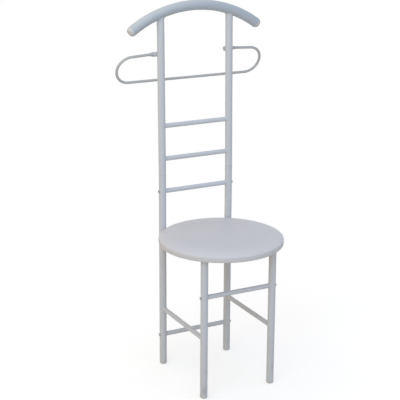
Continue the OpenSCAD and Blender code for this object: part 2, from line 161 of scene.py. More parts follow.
class SeatSizes(PropertyGroup):
    """Sizes of the seat's cover, and colours of the cover, foam and board"""

    crown: length("Crown", "Rise of the seat's middle above its shoulder", 3 * MM)
    shoulder: length("Shoulder", "Width over which the top rolls down to the side", 60 * MM)
    corner: length("Lower corner", "Radius where the cover turns under", 4 * MM)
    side: length("Side", "Straight height of the side", 10 * MM)
    tuck: length("Tuck", "How far the side is drawn in at its lower edge", 0.4 * MM)
    crease: length("Crease", "Depth of the crease where the foam meets the board's edge", 0.7 * MM)
    crease_width: length("Crease width", "Half of the crease's width", 2.4 * MM)
    hem: length("Hem", "Width of the cover under the board", 25 * MM)
    skin: length("Cover", "Thickness of the cover", 0.9 * MM)
    draw_in: length("Draw in", "How much smaller the cover starts before it swells", 0.6 * MM)
    swell: length("Swell", "Most that the padding may swell the cover", 1.0 * MM)
    pucker: length("Pucker", "Depth of the puckers above the lower corner", 0.45 * MM)
    pleat: length("Pleat", "Depth of the pleats in the hem", 1.3 * MM)
    pleats: IntProperty(name="Pleats", description="Number of pleats in the hem", default=72, min=12)
    staples: IntProperty(name="Staples", description="Staples that press the hem flat", default=24, min=8)
    pressed: length("Pressed", "Flat length of hem to each side of a staple's middle", 5.5 * MM)
    vinyl: colour("Vinyl", "Colour of the seat's cover", (0.715, 0.696, 0.685))
    foam: colour("Foam", "Colour of the foam", (0.86, 0.78, 0.50))
    wood: colour("Board", "Colour of the plywood board", (0.55, 0.38, 0.21))


class StageSettings(PropertyGroup):
    """The camera, the floor, the lamps and the room's light"""

    azimuth: angle("Azimuth", "Camera's turn to the left of the front", 27.624)
    elevation: angle("Elevation", "Camera's height above the horizon", 16.872)
    roll: angle("Roll", "Camera's tilt to the side", 0.279)
    distance: length("Distance", "Distance of the camera from its target", 3476.8 * MM)
    target_x: length("Target across", "Target's place to the right of the middle", -44.5 * MM)
    target_y: length("Target depth", "Target's place behind the rear posts", -112.5 * MM)
    target_z: length("Target height", "Target's height above the floor", 553.6 * MM)
    lens: FloatProperty(name="Lens", description="Focal length on a 36 mm sensor", default=106.47, min=1)
    floor: colour("Floor", "Colour of the floor", (0.74, 0.68, 0.57))
    floor_reach: length("Floor reach", "Distance from the middle to the floor's edges", 40)
    key: amount("Key", "Strength of the far lamp", 0.61)
    key_tint: colour("Key tint", "Colour of the far lamp", (1.0, 1.0, 0.89))
    key_azimuth: angle("Key azimuth", "Turn of the far and near lamps to the left of the front", 48)
    key_height: angle("Key height", "The far lamp's height above the horizon", 20)
    key_width: angle("Key width", "Width of the far lamp as the chair sees it", 60)
    near: amount("Near lamp", "Power of the near lamp in watts", 4.4)
    near_tint: colour("Near tint", "Colour of the near lamp", (0.21, 0.48, 1.0))
    near_size: length("Near size", "Side of the near lamp", 900 * MM)
    near_distance: length("Near distance", "Near lamp's level distance from the chair", 1600 * MM)
    near_height: length("Near height", "Near lamp's height above the floor", 1700 * MM)
    near_aim: length("Near aim", "Height on the chair's middle line that the near lamp faces", 800 * MM)
    top: amount("Top lamp", "Power of the top lamp in watts", 0.62)
    top_tint: colour("Top tint", "Colour of the top lamp", (1.0, 0.90, 0.57))
    top_size: length("Top size", "Side of the top lamp", 300 * MM)
    top_x: length("Top across", "Top lamp's place to the left of the middle", 350 * MM)
    top_y: length("Top depth", "Top lamp's place in front of the rear posts", 100 * MM)
    top_height: length("Top height", "Top lamp's height above the floor", 1500 * MM)
    left_wall: colour("Left wall", "Light from the left", (0.45, 0.33, 0.13))
    right_wall: colour("Right wall", "Light from the right", (0.10, 0.12, 0.15))
    front_wall: colour("Front wall", "Light from the front", (0.31, 0.45, 0.62))
    back_wall: colour("Back wall", "Light from the back", (0.12, 0.11, 0.10))
    ceiling: colour("Ceiling", "Light from overhead", (0.665, 0.690, 0.815))


# ---- Shader maths ----

# Sockets of a Mix node that is set to colours, where several share one name
MIX_SHARE, MIX_FIRST, MIX_SECOND, MIX_RESULT = 0, 6, 7, 2


class Signal:
    """A socket of a finish. Arithmetic on it adds Math nodes, and plain numbers may join in."""

    def __init__(self, finish, socket):
        self.finish = finish
        self.socket = socket

    def _math(self, operation, first, second):
        return self.finish.node("ShaderNodeMath", {"operation": operation}, {0: first, 1: second})

    def __add__(self, other):
        return self._math("ADD", self, other)

    __radd__ = __add__

    def __mul__(self, other):
        return self._math("MULTIPLY", self, other)

    __rmul__ = __mul__

    def __sub__(self, other):
        return self._math("SUBTRACT", self, other)

    def __rsub__(self, other):
        return self._math("SUBTRACT", other, self)


class Finish:
    """A material or world whose nodes are all added by one method."""

    def __init__(self, name, owner=None):
        self.owner = owner or bpy.data.materials.new(name)
        self.owner.use_nodes = True
        self.tree = self.owner.node_tree
        self.tree.nodes.clear()

    def node(self, kind, settings=None, sockets=None, output=0):
        """Adds a node with its settings and its sockets' values or links, and returns an output."""
        made = self.tree.nodes.new(kind)
        for name, value in (settings or {}).items():
            setattr(made, name, value)
        for name, value in (sockets or {}).items():
            if isinstance(value, Signal):
                self.tree.links.new(value.socket, made.inputs[name])
            else:
                made.inputs[name].default_value = value
        return Signal(self, made.outputs[output]) if made.outputs else None

    def place(self, stretch=(1, 1, 1)):
        """The point on the piece itself, in metres, each axis multiplied by its stretch."""
        point = self.node("ShaderNodeTexCoord", output="Object")
        return self.node("ShaderNodeVectorMath", {"operation": "MULTIPLY"}, {0: point, 1: stretch})

    def axis(self, name):
        """One coordinate of the point on the piece."""
        point = self.node("ShaderNodeTexCoord", output="Object")
        return self.node("ShaderNodeSeparateXYZ", None, {0: point}, output=name)

    def grain(self, scale, detail, stretch=(1, 1, 1)):
        """Soft noise from 0 to 1 with about scale features to a metre."""
        sockets = {"Vector": self.place(stretch), "Scale": scale, "Detail": detail}
        return self.node("ShaderNodeTexNoise", None, sockets)

    def cells(self, scale, randomness):
        """Distance from the middle of the nearest cell, with about scale cells to a metre."""
        sockets = {"Vector": self.place(), "Scale": scale, "Randomness": randomness}
        return self.node("ShaderNodeTexVoronoi", None, sockets)

    def ramp(self, value, low, high):
        """0 below low, 1 above high and smooth between them; low may be the higher one."""
        settings = {"interpolation_type": "SMOOTHSTEP"}
        return self.node("ShaderNodeMapRange", settings, {0: value, 1: low, 2: high})

    def larger(self, first, second):
        """The larger of two values."""
        return self.node("ShaderNodeMath", {"operation": "MAXIMUM"}, {0: first, 1: second})

    def mix(self, share, first, second):
        """Two colours mixed by a share from 0 to 1."""
        start, end = [c if isinstance(c, Signal) else (*c, 1) for c in (first, second)]
        sockets = {MIX_SHARE: share, MIX_FIRST: start, MIX_SECOND: end}
        return self.node("ShaderNodeMix", {"data_type": "RGBA"}, sockets, output=MIX_RESULT)

    def bump(self, height, depth, strength):
        """A normal from a height of 0 to 1 that stands for depth metres."""
        sockets = {"Strength": strength, "Distance": depth, "Height": height}
        return self.node("ShaderNodeBump", None, sockets)

    def surface(self, **sockets):
        """The shader and the output; an underscore in a name stands for a space."""
        named = {name.replace("_", " "): value for name, value in sockets.items()}
        for name, value in named.items():
            if name.endswith("Color") and not isinstance(value, Signal):
                named[name] = (*value, 1)
        shader = self.node("ShaderNodeBsdfPrincipled", None, named)
        return self.output("ShaderNodeOutputMaterial", shader)

    def output(self, kind, shader):
        """Links a shader to an output of the given kind and returns what owns the nodes."""
        self.node(kind, None, {"Surface": shader})
        return self.owner


# ---- Finishes ----

# A grain's first number is its features to a metre, its second the layers of finer detail

SCUFF_TOP = 160 * MM  # the tubes are scuffed below this height and darker below this one, from dust and painted shade, with the most of both down here
DUST_AND_SHADE_TOP = 460 * MM  # and dusty below this one,
DUST_AND_SHADE_FULL = 40 * MM  # with the most dust down here
FOOT_SCUFF_TOP = 12 * MM  # the feet are scuffed below this height


def darker(tone, share):
    """A colour at a share of its strength."""
    return tuple(share * c for c in tone)


def lacquered_steel(name, tone, looks):
    """Satin lacquer on steel tube: faint orange peel, uneven tone, legs darkened by dust and painted shade, and
    rubbed feet.
    """
    f = Finish(name)
    peel = f.grain(420, 2.0)
    cloud = f.grain(7, 3.0)
    specks = f.ramp(f.grain(900, 1.0), 0.70, 0.78)
    low = f.ramp(f.axis("Z"), SCUFF_TOP, FLOOR_Z)
    scuffs = f.ramp(f.grain(60, 4.0, (1, 1, 0.35)), 0.56, 0.70) * low
    # Dust and painted shade: the colour darkens towards the floor, for the weaker light low down
    dust_and_shade = f.ramp(f.axis("Z"), DUST_AND_SHADE_TOP, DUST_AND_SHADE_FULL)
    wear_and_shade = 0.06 * cloud + 0.10 * specks + 0.45 * scuffs + 0.12 * dust_and_shade
    return f.surface(
        Base_Color=f.mix(wear_and_shade, tone, looks.grime_and_shade),
        Roughness=looks.gloss + 0.10 * cloud + 0.25 * scuffs,
        Specular_IOR_Level=0.28,
        Normal=f.bump(peel, 0.06 * MM, 0.5),
    )


def moulded_plastic(name, tone, looks):
    """Moulded plastic with a fine spark-eroded grain and scuffs near the floor."""
    f = Finish(name)
    pits = f.grain(1500, 1.0)
    cloud = f.grain(25, 2.0)
    low = f.ramp(f.axis("Z"), FOOT_SCUFF_TOP, FLOOR_Z)
    scuffs = f.ramp(f.grain(260, 3.0), 0.42, 0.62) * low
    return f.surface(
        Base_Color=f.mix(0.08 * cloud + 0.6 * scuffs, tone, looks.grime_and_shade),
        Roughness=0.42 + 0.12 * cloud + 0.2 * scuffs,
        Specular_IOR_Level=0.4,
        Normal=f.bump(pits, 0.08 * MM, 0.4),
    )


def plated_steel(name, tone, roughness):
    """Plated steel with drawing lines and a cloudy sheen."""
    f = Finish(name)
    lines = f.grain(1400, 1.0, (1, 1, 0.12))
    cloud = f.grain(160, 2.0)
    return f.surface(
        Base_Color=f.mix(0.7 * cloud, tone, darker(tone, 0.62)),
        Metallic=1.0,
        Roughness=roughness + 0.18 * cloud,
        Normal=f.bump(lines, 0.04 * MM, 0.4),
    )


def grained_vinyl(looks):
    """Cover vinyl: fine pebble grain, faint creases, and painted shade that darkens its middle and its side."""
    f = Finish("grained_vinyl")
    warp = f.grain(300, 1.0)
    pebble = f.ramp(f.cells(850, 0.9), 0.05, 0.55)
    cloud = f.grain(9, 3.0)
    creases = f.ramp(f.grain(45, 5.0), 0.62, 0.50)
    # Painted shade: the side below the crease is coloured darker, for the weaker light that falls on it
    crease_z = SEAT_LOW + nose_height(looks)
    blur = 0.4 * looks.crease_width
    side = f.ramp(f.axis("Z"), crease_z + blur, crease_z - blur)
    # Painted shade: the top's middle is coloured darker, so that the rolled edge looks brighter lit
    top = (SEAT_MIDDLE.x, SEAT_MIDDLE.y, SEAT_HIGH)
    away = f.node("ShaderNodeVectorMath", {"operation": "DISTANCE"}, {0: f.place(), 1: top}, "Value")
    painted_shade_middle = f.ramp(away, SEAT_R - 0.25 * looks.shoulder, SEAT_R - 1.2 * looks.shoulder)
    wear_and_shade = 0.25 * cloud + 0.18 * pebble + 0.38 * side + 0.32 * painted_shade_middle
    height = pebble * 0.5 + warp * 0.3 + creases * 0.6
    return f.surface(
        Base_Color=f.mix(wear_and_shade, looks.vinyl, darker(looks.vinyl, 0.86)),
        Roughness=0.50 + 0.10 * cloud - 0.08 * pebble,
        Specular_IOR_Level=0.16,
        Normal=f.bump(height, 0.12 * MM, 0.55),
    )


def laminated_board(looks):
    """Plywood: dark glue lines between the plies at its edge and long grain on its face."""
    f = Finish("laminated_board")
    grain = f.grain(110, 6.0, (1, 0.06, 1))
    pores = f.ramp(f.grain(700, 2.0, (1, 0.05, 1)), 0.60, 0.72)
    # This many radians to a metre puts a glue line every 1.8 mm
    ply_rate = 3490.0
    plies = f.node("ShaderNodeMath", {"operation": "SINE"}, {0: f.axis("Z") * ply_rate})
    glue = f.ramp(plies, 0.55, 0.95)
    return f.surface(
        Base_Color=f.mix(0.45 * grain + 0.3 * pores + 0.25 * glue, looks.wood, darker(looks.wood, 0.42)),
        Roughness=0.68 + 0.15 * grain,
        Normal=f.bump(grain + pores, 0.2 * MM, 0.5),
    )


def open_foam(looks):
    """Cut foam with open cells, whose hollows are coloured darker as painted shade."""
    f = Finish("open_foam")
    cells = f.cells(1100, 1.0)
    return f.surface(
        # Painted shade: the cells' hollows are coloured darker
        Base_Color=f.mix(f.ramp(cells, 0.6, 0.1), looks.foam, darker(looks.foam, 0.6)),
        Roughness=0.95,
        Normal=f.bump(cells, 0.5 * MM, 0.8),
    )


# ---- Mesh helpers ----


def new_object(name, data):
    """An object that holds the data, put into the scene."""
    made = bpy.data.objects.new(name, data)
    bpy.context.scene.collection.objects.link(made)
    return made


def mesh_piece(name, points, faces, material, body):
    """A smooth-shaded mesh object that rides on a body."""
    shape = bmesh.new()
    verts = [shape.verts.new(point) for point in points]
    for face in faces:
        shape.faces.new([verts[i] for i in face])
    bmesh.ops.recalc_face_normals(shape, faces=shape.faces)
    for face in shape.faces:
        face.smooth = True
    mesh = bpy.data.meshes.new(name)
    shape.to_mesh(mesh)
    shape.free()
    mesh.materials.append(material)
    piece = new_object(name, mesh)
    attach(piece, body)
    return piece


def full_circle(count):
    """The angles of count equal steps round a circle."""
    return [2 * math.pi * i / count for i in range(count)]


def swept(line, sides, closed):
    """Points and faces of a round section swept along a line of (point, side vector, radius)."""
    points = []
    count = len(line)
    for i, (point, side, radius) in enumerate(line):
        after = line[(i + 1) % count if closed else min(i + 1, count - 1)][0]
        before = line[(i - 1) % count if closed else max(i - 1, 0)][0]
        along = (after - before).normalized()
        across = (side - along * side.dot(along)).normalized()
        up = along.cross(across)
        for turn in full_circle(sides):
            points.append(point + radius * (math.cos(turn) * across + math.sin(turn) * up))
    faces = []
    for i in range(count if closed else count - 1):
        j = (i + 1) % count
        for k in range(sides):
            m = (k + 1) % sides
            faces.append((i * sides + k, i * sides + m, j * sides + m, j * sides + k))
    if not closed:
        faces.append(tuple(range(sides)))
        faces.append(tuple((count - 1) * sides + k for k in range(sides)))
    return points, faces


def joined(shapes):
    """Several (points, faces) pairs as one."""
    points = []
    faces = []
    for more_points, more_faces in shapes:
        start = len(points)
        points += more_points
        faces += [tuple(start + i for i in face) for face in more_faces]
    return points, faces


# ---- Frame ----


def paint_nodes(material, *nodes):
    """Gives carried-over nodes their finish."""
    for name in nodes:
        mesh = frame["nodes"][name].data
        if not mesh.materials:
            mesh.materials.append(material)
        for i in range(len(mesh.materials)):
            mesh.materials[i] = material


def slot_nodes(slot):
    """The nodes that the record gives one material slot."""
    return [part["node"] for part in frame["record"]["subparts"] if part["material_slot"] == slot]


class VALET_OT_finish_frame(Operator):
    """Gives the tubes, caps, feet, bolts and the seat's inner layers their finishes"""

    bl_idname = "valet.finish_frame"
    bl_label = "Finish the frame"

    def execute(self, context):
        looks = context.scene.valet_frame
        seat = context.scene.valet_seat
        paint_nodes(lacquered_steel("lacquered_steel", looks.paint, looks), *slot_nodes("white_paint"))
        # The arch has the tubes' lacquer in a darker, bluer colour: painted shade and painted bluish light
        paint_nodes(lacquered_steel("lacquered_arch_with_painted_shade", looks.arch, looks), "hanger_arch")
        paint_nodes(moulded_plastic("cap_plastic", looks.plastic, looks), *slot_nodes("white_plastic"))
        # The sleeves' caps get the bushes' grey: painted shade where the posts shadow them
        grey = moulded_plastic("bush_plastic_and_shaded_caps", looks.bush, looks)
        paint_nodes(grey, "bow_bush_left", "bow_bush_right", "sleeve_caps")
        paint_nodes(plated_steel("zinc_plate", looks.steel, roughness=0.32), *slot_nodes("zinc_steel"))
        paint_nodes(plated_steel("blackened_bolt", looks.bolt, roughness=0.45), "frame_bolts")
        paint_nodes(laminated_board(seat), "seat_board")
        paint_nodes(open_foam(seat), "seat_foam")
        return {"FINISHED"}


# ---- Weld beads ----

# Steps along each kind of bead, and round the section of all of them
COPE_STEPS = 144
ARCH_STEPS = 200
PAD_STEPS = 64
BEAD_SIDES = 10

# How much of a bead's radius its ripples and its slow wander take, and the wanders to a metre
RIPPLE_SHARE = 0.10
WANDER_SHARE = 0.16
WANDER_RATE = 160


def bead_radius(sizes, run, phase):
    """Radius of a bead at a run along it: ripples left by the torch, and a slow wander."""
    ripple = math.cos(2 * math.pi * run / sizes.ripple)
    wander = noise.noise(Vector((run * WANDER_RATE, phase, 0)))
    return sizes.bead * (1 + RIPPLE_SHARE * ripple + WANDER_SHARE * wander)


def bead_loop(points, outward, sizes, phase):
    """A closed weld bead through points; outward gives the side vector at each of them."""
    run = 0.0
    line = []
    for i, point in enumerate(points):
        line.append((point, outward[i], bead_radius(sizes, run, phase)))
        run += (points[(i + 1) % len(points)] - point).length
    return swept(line, BEAD_SIDES, closed=True)


def coped_bead(centre, out, upright, sizes, phase):
    """The bead where a bar runs out of an upright post or leg centred at centre."""
    third = out.cross(upright)
    points = []
    outward = []
    for turn in full_circle(COPE_STEPS):
        rise = BAR_R * math.cos(turn)
        aside = BAR_R * math.sin(turn)
        away = math.sqrt(POST_R**2 - aside**2)
        points.append(centre + away * out + rise * upright + aside * third)
        outward.append(math.cos(turn) * upright + math.sin(turn) * third)
    return bead_loop(points, outward, sizes, phase)


def arch_bead(side, sizes, phase):
    """The bead where a back post meets the underside of the arch."""
    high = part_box("hanger_arch")[1]
    top = Vector((0, high.y - ARCH_R, high.z - ARCH_R))
    centre = top - sizes.arch_bend * BACK_UP
    points = []
    outward = []
    for turn in full_circle(ARCH_STEPS):
        back = POST_R * math.sin(turn)
        x = side * POST_X + POST_R * math.cos(turn)
        ring = sizes.arch_bend - math.sqrt(ARCH_R**2 - back**2)
        rise = math.sqrt(ring**2 - x**2)
        points.append(centre + x * RIGHT + back * BACK_REAR + rise * BACK_UP)
        outward.append(math.cos(turn) * RIGHT + math.sin(turn) * BACK_REAR)
    return bead_loop(points, outward, sizes, phase)


def sleeve_bead(name, side, sizes, phase):
    """The ring of weld in the gap between a sleeve and the back of its post."""
    sleeve = middle(f"bow_sleeve_{name}")
    touch = Vector((side * POST_X, sleeve.y, sleeve.z)) - SLEEVE_R * BACK_REAR
    outward = [math.cos(turn) * RIGHT + math.sin(turn) * BACK_UP for turn in full_circle(PAD_STEPS)]
    points = [touch + sizes.pad * out for out in outward]
    return bead_loop(points, outward, sizes, phase)


class VALET_OT_weld_beads(Operator):
    """Runs a painted weld bead round every coped joint of the frame"""

    bl_idname = "valet.weld_beads"
    bl_label = "Weld beads"

    def execute(self, context):
        sizes = context.scene.valet_welds
        paint = bpy.data.materials["lacquered_steel"]
        for name, side in SIDES.items():
            beads = []
            for bar in ("middle_back_bar", "upper_back_bar"):
                centre = middle(bar)
                centre.x = side * POST_X
                beads.append(coped_bead(centre, -side * RIGHT, BACK_UP, sizes, len(beads)))
            for tube in ("seat_rail", "side_stretcher"):
                centre = middle(f"{tube}_{name}")
                for y, out in ((POST_Y, -REAR), (LEG_Y, REAR)):
                    centre.y = y
                    beads.append(coped_bead(centre, out, UP, sizes, len(beads)))
            beads.append(arch_bead(side, sizes, len(beads)))
            beads.append(sleeve_bead(name, side, sizes, len(beads)))
            points, faces = joined(beads)
            mesh_piece(f"weld_beads_{name}", points, faces, paint, "frame")
        return {"FINISHED"}


# ---- Trouser bow ----

BEND_STEPS = 48
KNEE_STEPS = 4
WIRE_SIDES = 32


def arc(centre, radius, start, end, steps):
    """Points of an arc in the bow's plane, as (across, drop) pairs."""
    turns = [start + (end - start) * i / steps for i in range(steps + 1)]
    return [(centre[0] + radius * math.cos(t), centre[1] + radius * math.sin(t)) for t in turns]


def bow_line(sizes):
    """The wire's centre line from the middle of the lower run to its right end."""
    wire_r = sizes.wire / 2
    low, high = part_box("trouser_bow")
    hang = Vector((0, high.y - wire_r - BOW_PIVOT.y, low.z + wire_r - BOW_PIVOT.z))
    drop = hang.length
    down = hang.normalized()
    reach = high.x - wire_r
    wire_end, bush_out = [corner.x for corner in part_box("bow_bush_right")]
    lead_in = 2 * MM
    knee_x = bush_out + sizes.knee_gap
    slope = sizes.slope
    run_x = knee_x + sizes.knee * math.sin(slope)
    knee_drop = sizes.knee * (1 - math.cos(slope))
    # The round end's radius is the one that joins the lower run to the sloping upper one
    bend = (drop - knee_drop - (reach - run_x) * math.tan(slope)) / (
        1 + math.cos(slope) - math.tan(slope) * (1 - math.sin(slope))
    )
    bend_x = reach - bend
    quarter = math.pi / 2
    flat = [(0.0, drop), (bend_x / 2, drop)]
    flat += arc((bend_x, drop - bend), bend, quarter, slope - quarter, BEND_STEPS)
    flat += arc((knee_x, sizes.knee), sizes.knee, slope - quarter, -quarter, KNEE_STEPS)
    flat += [(bush_out - lead_in, 0.0), (wire_end, 0.0)]
    return [BOW_PIVOT + across * RIGHT + fall * down for across, fall in flat]


class VALET_OT_trouser_bow(Operator):
    """Bends the trouser bow from one length of wire"""

    bl_idname = "valet.trouser_bow"
    bl_label = "Trouser bow"

    def execute(self, context):
        sizes = context.scene.valet_bow
        looks = context.scene.valet_frame
        half = bow_line(sizes)
        mirrored = [Vector((-p.x, p.y, p.z)) for p in reversed(half[1:])]
        side_vector = (half[0] - BOW_PIVOT).cross(RIGHT)
        line = [(point, side_vector, sizes.wire / 2) for point in mirrored + half]
        points, faces = swept(line, WIRE_SIDES, closed=False)
        paint = lacquered_steel("lacquered_wire", looks.wire, looks)
        bow = mesh_piece("bow_wire", points, faces, paint, "bow")
        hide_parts("trouser_bow")
        return {"FINISHED"}


# ---- Seat ----

# How fast the pleats' depth and places change round the seat, and the most that a pleat strays
DEPTH_RATE = 9
STRAY_RATE = 14
MOST_STRAY = 0.3


def nose_height(sizes):
    """Height of the side's upper edge, where the crease runs, above the seat's underside."""
    return sizes.corner + sizes.side


def hem_edge(sizes):
    """Radius at which the cover has turned under and the hem starts."""
    return SEAT_R - sizes.tuck - sizes.corner


def shoulder_height(sizes):
    """Height of the top's edge above the seat's underside."""
    return SEAT_HIGH - SEAT_LOW - sizes.crown


def crown_height(sizes, radius):
    """Height of the top above the seat's underside, at a radius inside the shoulder."""
    share = min(1.0, radius / (SEAT_R - sizes.shoulder))
    return shoulder_height(sizes) + sizes.crown * (1 + math.cos(math.pi * share)) / 2


def rim_profile(sizes):
    """The cover's outline from the shoulder round the nose to the hem's edge: (radius, height)."""
    nose = nose_height(sizes)
    inner = SEAT_R - sizes.shoulder
    hem_width = sizes.hem - sizes.tuck - sizes.corner
    shoulder_steps = 14
    side_steps = 4
    corner_steps = 4
    hem_steps = 6
    outline = []
    for i in range(1, shoulder_steps + 1):
        turn = math.pi / 2 * (1 - i / shoulder_steps)
        rise = (shoulder_height(sizes) - nose) * math.sin(turn)
        outline.append((inner + sizes.shoulder * math.cos(turn), nose + rise))
    for i in range(1, side_steps):
        share = i / side_steps
        outline.append((SEAT_R - sizes.tuck * share, nose - sizes.side * share))
    for i in range(corner_steps + 1):
        turn = math.pi / 2 * (1 - i / corner_steps)
        radius = SEAT_R - sizes.tuck - sizes.corner * (1 - math.sin(turn))
        outline.append((radius, sizes.corner * (1 - math.cos(turn))))
    for i in range(1, hem_steps + 1):
        outline.append((hem_edge(sizes) - hem_width * i / hem_steps, 0.0))
    return outline


def patch_point(u, v):
    """A point of the square patch at the seat's middle, u and v from -1 to 1; its sides bulge."""
    roundness = 0.6
    flatness = 0.8 * (1 - roundness)
    x = flatness * u + roundness * u * math.sqrt(1 - v * v / 2)
    y = flatness * v + roundness * v * math.sqrt(1 - u * u / 2)
    return Vector((x, y))


def middle_patch(reach):
    """A bulging square of quads: its points, its faces, and its border's points in order."""
    steps = 34
    points = []
    grid = {}
    for i in range(steps + 1):
        for j in range(steps + 1):
            grid[i, j] = len(points)
            points.append(reach * patch_point(2 * i / steps - 1, 2 * j / steps - 1))
    faces = [
        (grid[i, j], grid[i + 1, j], grid[i + 1, j + 1], grid[i, j + 1])
        for i in range(steps)
        for j in range(steps)
    ]
    there = range(steps)
    back = range(steps, 0, -1)
    border = [grid[i, 0] for i in there] + [grid[steps, j] for j in there]
    border += [grid[i, steps] for i in back] + [grid[0, j] for j in back]
    return points, faces, border


def seat_mesh(sizes):
    """The cover's points and quads: a patch at the middle, then rings out, round and under.
    A patch has no pole, so the top shades evenly."""
    patch_share = 0.52
    crown_rings = 8
    points, faces, border = middle_patch(patch_share * SEAT_R)
    first_ring = len(points)
    around = len(border)
    start = math.atan2(-1, -1)
    spokes = [Vector((math.cos(start + turn), math.sin(start + turn))) for turn in full_circle(around)]
    for ring in range(1, crown_rings + 1):
        share = ring / crown_rings
        edge_r = share * (SEAT_R - sizes.shoulder)
        points += [(1 - share) * points[i] + edge_r * spoke for i, spoke in zip(border, spokes)]
    heights = [crown_height(sizes, point.length) for point in points]
    for radius, height in rim_profile(sizes):
        points += [radius * spoke for spoke in spokes]
        heights += [height] * around
    last = border
    for ring_start in range(first_ring, len(points), around):
        fresh = range(ring_start, ring_start + around)
        for i in range(around):
            j = (i + 1) % around
            faces.append((last[i], last[j], fresh[j], fresh[i]))
        last = fresh
    placed = [
        Vector((SEAT_MIDDLE.x + p.x, SEAT_MIDDLE.y + p.y, SEAT_LOW + h)) for p, h in zip(points, heights)
    ]
    return placed, faces


def smooth_step(value, low, high):
    """0 at low, 1 at high and smooth between them."""
    share = min(1.0, max(0.0, (value - low) / (high - low)))
    return share * share * (3 - 2 * share)


def above_side(point, sizes):
    """0 on the straight side and below it, 1 on the top."""
    return smooth_step(point.z - SEAT_LOW, nose_height(sizes), shoulder_height(sizes))


def swollen(piece, sizes):
    """Blows the cover up like foam that presses against it, held at its side and hem.
    It starts a little smaller, and ends at least as large as the foam under it needs."""
    whole = [vertex.co.copy() for vertex in piece.data.vertices]
    outward = [vertex.normal.copy() for vertex in piece.data.vertices]
    for vertex, away in zip(piece.data.vertices, outward):
        vertex.co -= sizes.draw_in * above_side(vertex.co, sizes) * away
    held = piece.vertex_groups.new(name="held")
    for vertex in piece.data.vertices:
        held.add([vertex.index], 1 - above_side(vertex.co, sizes) ** 0.5, "REPLACE")
    cloth = piece.modifiers.new("padding", "CLOTH")
    cloth.settings.quality = 5
    cloth.settings.vertex_group_mass = held.name
    cloth.settings.use_pressure = True
    cloth.settings.uniform_pressure_force = 4.0
    cloth.settings.effector_weights.gravity = 0
    cloth.settings.tension_stiffness = 30
    cloth.settings.compression_stiffness = 30
    cloth.settings.bending_stiffness = 4
    cloth.collision_settings.use_collision = False
    frames = 20
    cloth.point_cache.frame_end = frames
    for number in range(1, frames + 1):
        bpy.context.scene.frame_set(number)
    graph = bpy.context.evaluated_depsgraph_get()
    moved = [vertex.co.copy() for vertex in piece.evaluated_get(graph).data.vertices]
    piece.modifiers.remove(cloth)
    bpy.context.scene.frame_set(1)
    for vertex, before, after, away in zip(piece.data.vertices, whole, moved, outward):
        rise = (after - before).dot(away)
        vertex.co = before + min(max(rise, 0.0), sizes.swell) * away


def applied(piece, kind, **settings):
    """Adds a modifier with its settings and bakes it into the piece's own mesh."""
    modifier = piece.modifiers.new(kind.lower(), kind)
    for name, value in settings.items():
        setattr(modifier, name, value)
    graph = bpy.context.evaluated_depsgraph_get()
    mesh = bpy.data.meshes.new_from_object(piece.evaluated_get(graph))
    piece.modifiers.clear()
    old = piece.data
    piece.data = mesh
    bpy.data.meshes.remove(old)


def fold_at(turn, spoke, sizes):
    """0 between two pleats and 1 on a pleat's ridge. Each leans over, and they lie unevenly."""
    stray = MOST_STRAY * noise.noise(STRAY_RATE * spoke)
    lay = (sizes.pleats * turn / (2 * math.pi) + stray) % 1.0
    ridge_start, ridge_end = 0.75, 0.85
    return smooth_step(lay, 0.0, ridge_start) * (1 - smooth_step(lay, ridge_end, 1.0))


def clear_of_staples(turn, radius, sizes):
    """0 where a staple presses the hem flat, 1 where it lies free."""
    between = sizes.staples * turn / (2 * math.pi)
    staple_off = abs(between - round(between)) * 2 * math.pi * radius / sizes.staples
    return smooth_step(staple_off, sizes.pressed, 2.4 * sizes.pressed)


def gather(piece, sizes):
    """Draws puckers above the lower corner, creases the side and lays the hem in pleats.
    The staples press the pleats flat."""
    hem_out = hem_edge(sizes)
    pleat_in = hem_out - 0.2 * sizes.hem
    pucker_low = 0.6 * sizes.corner
    pucker_high = 2.6 * sizes.corner
    crease = nose_height(sizes)
    underside = Vector((SEAT_MIDDLE.x, SEAT_MIDDLE.y, SEAT_LOW))
    for vertex in piece.data.vertices:
        offset = vertex.co - underside
        radius = offset.xy.length
        rise = offset.z
        turn = math.atan2(offset.y, offset.x)
        spoke = Vector((math.cos(turn), math.sin(turn), 0))
        uneven = 0.5 + 0.5 * noise.noise(DEPTH_RATE * spoke)
        fold = fold_at(turn, spoke, sizes)
        if radius > hem_out:
            band = smooth_step(rise, 0.0, pucker_low) * (1 - smooth_step(rise, sizes.corner, pucker_high))
            groove = 1 - smooth_step(abs(rise - crease), 0.0, sizes.crease_width)
            vertex.co -= (sizes.pucker * (1 - fold) * uneven * band + sizes.crease * groove) * spoke
        if rise < sizes.corner and radius < SEAT_R:
            under = smooth_step(radius, SEAT_R - sizes.tuck, pleat_in)
            vertex.co.z -= sizes.pleat * fold * uneven * under * clear_of_staples(turn, radius, sizes)


class VALET_OT_seat_cushion(Operator):
    """Models the padded seat's vinyl cover, swollen by its foam and turned under the board"""

    bl_idname = "valet.seat_cushion"
    bl_label = "Seat cushion"

    def execute(self, context):
        sizes = context.scene.valet_seat
        points, faces = seat_mesh(sizes)
        cover = mesh_piece("seat_cushion", points, faces, grained_vinyl(sizes), "frame")
        swollen(cover, sizes)
        applied(cover, "SUBSURF", levels=1, render_levels=1)
        gather(cover, sizes)
        applied(cover, "SOLIDIFY", thickness=sizes.skin, offset=-1.0)
        for face in cover.data.polygons:
            face.use_smooth = True
        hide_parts("seat_cover")
        return {"FINISHED"}


# ---- Stage ----

BLACK = (0, 0, 0)
WHITE = (1, 1, 1)


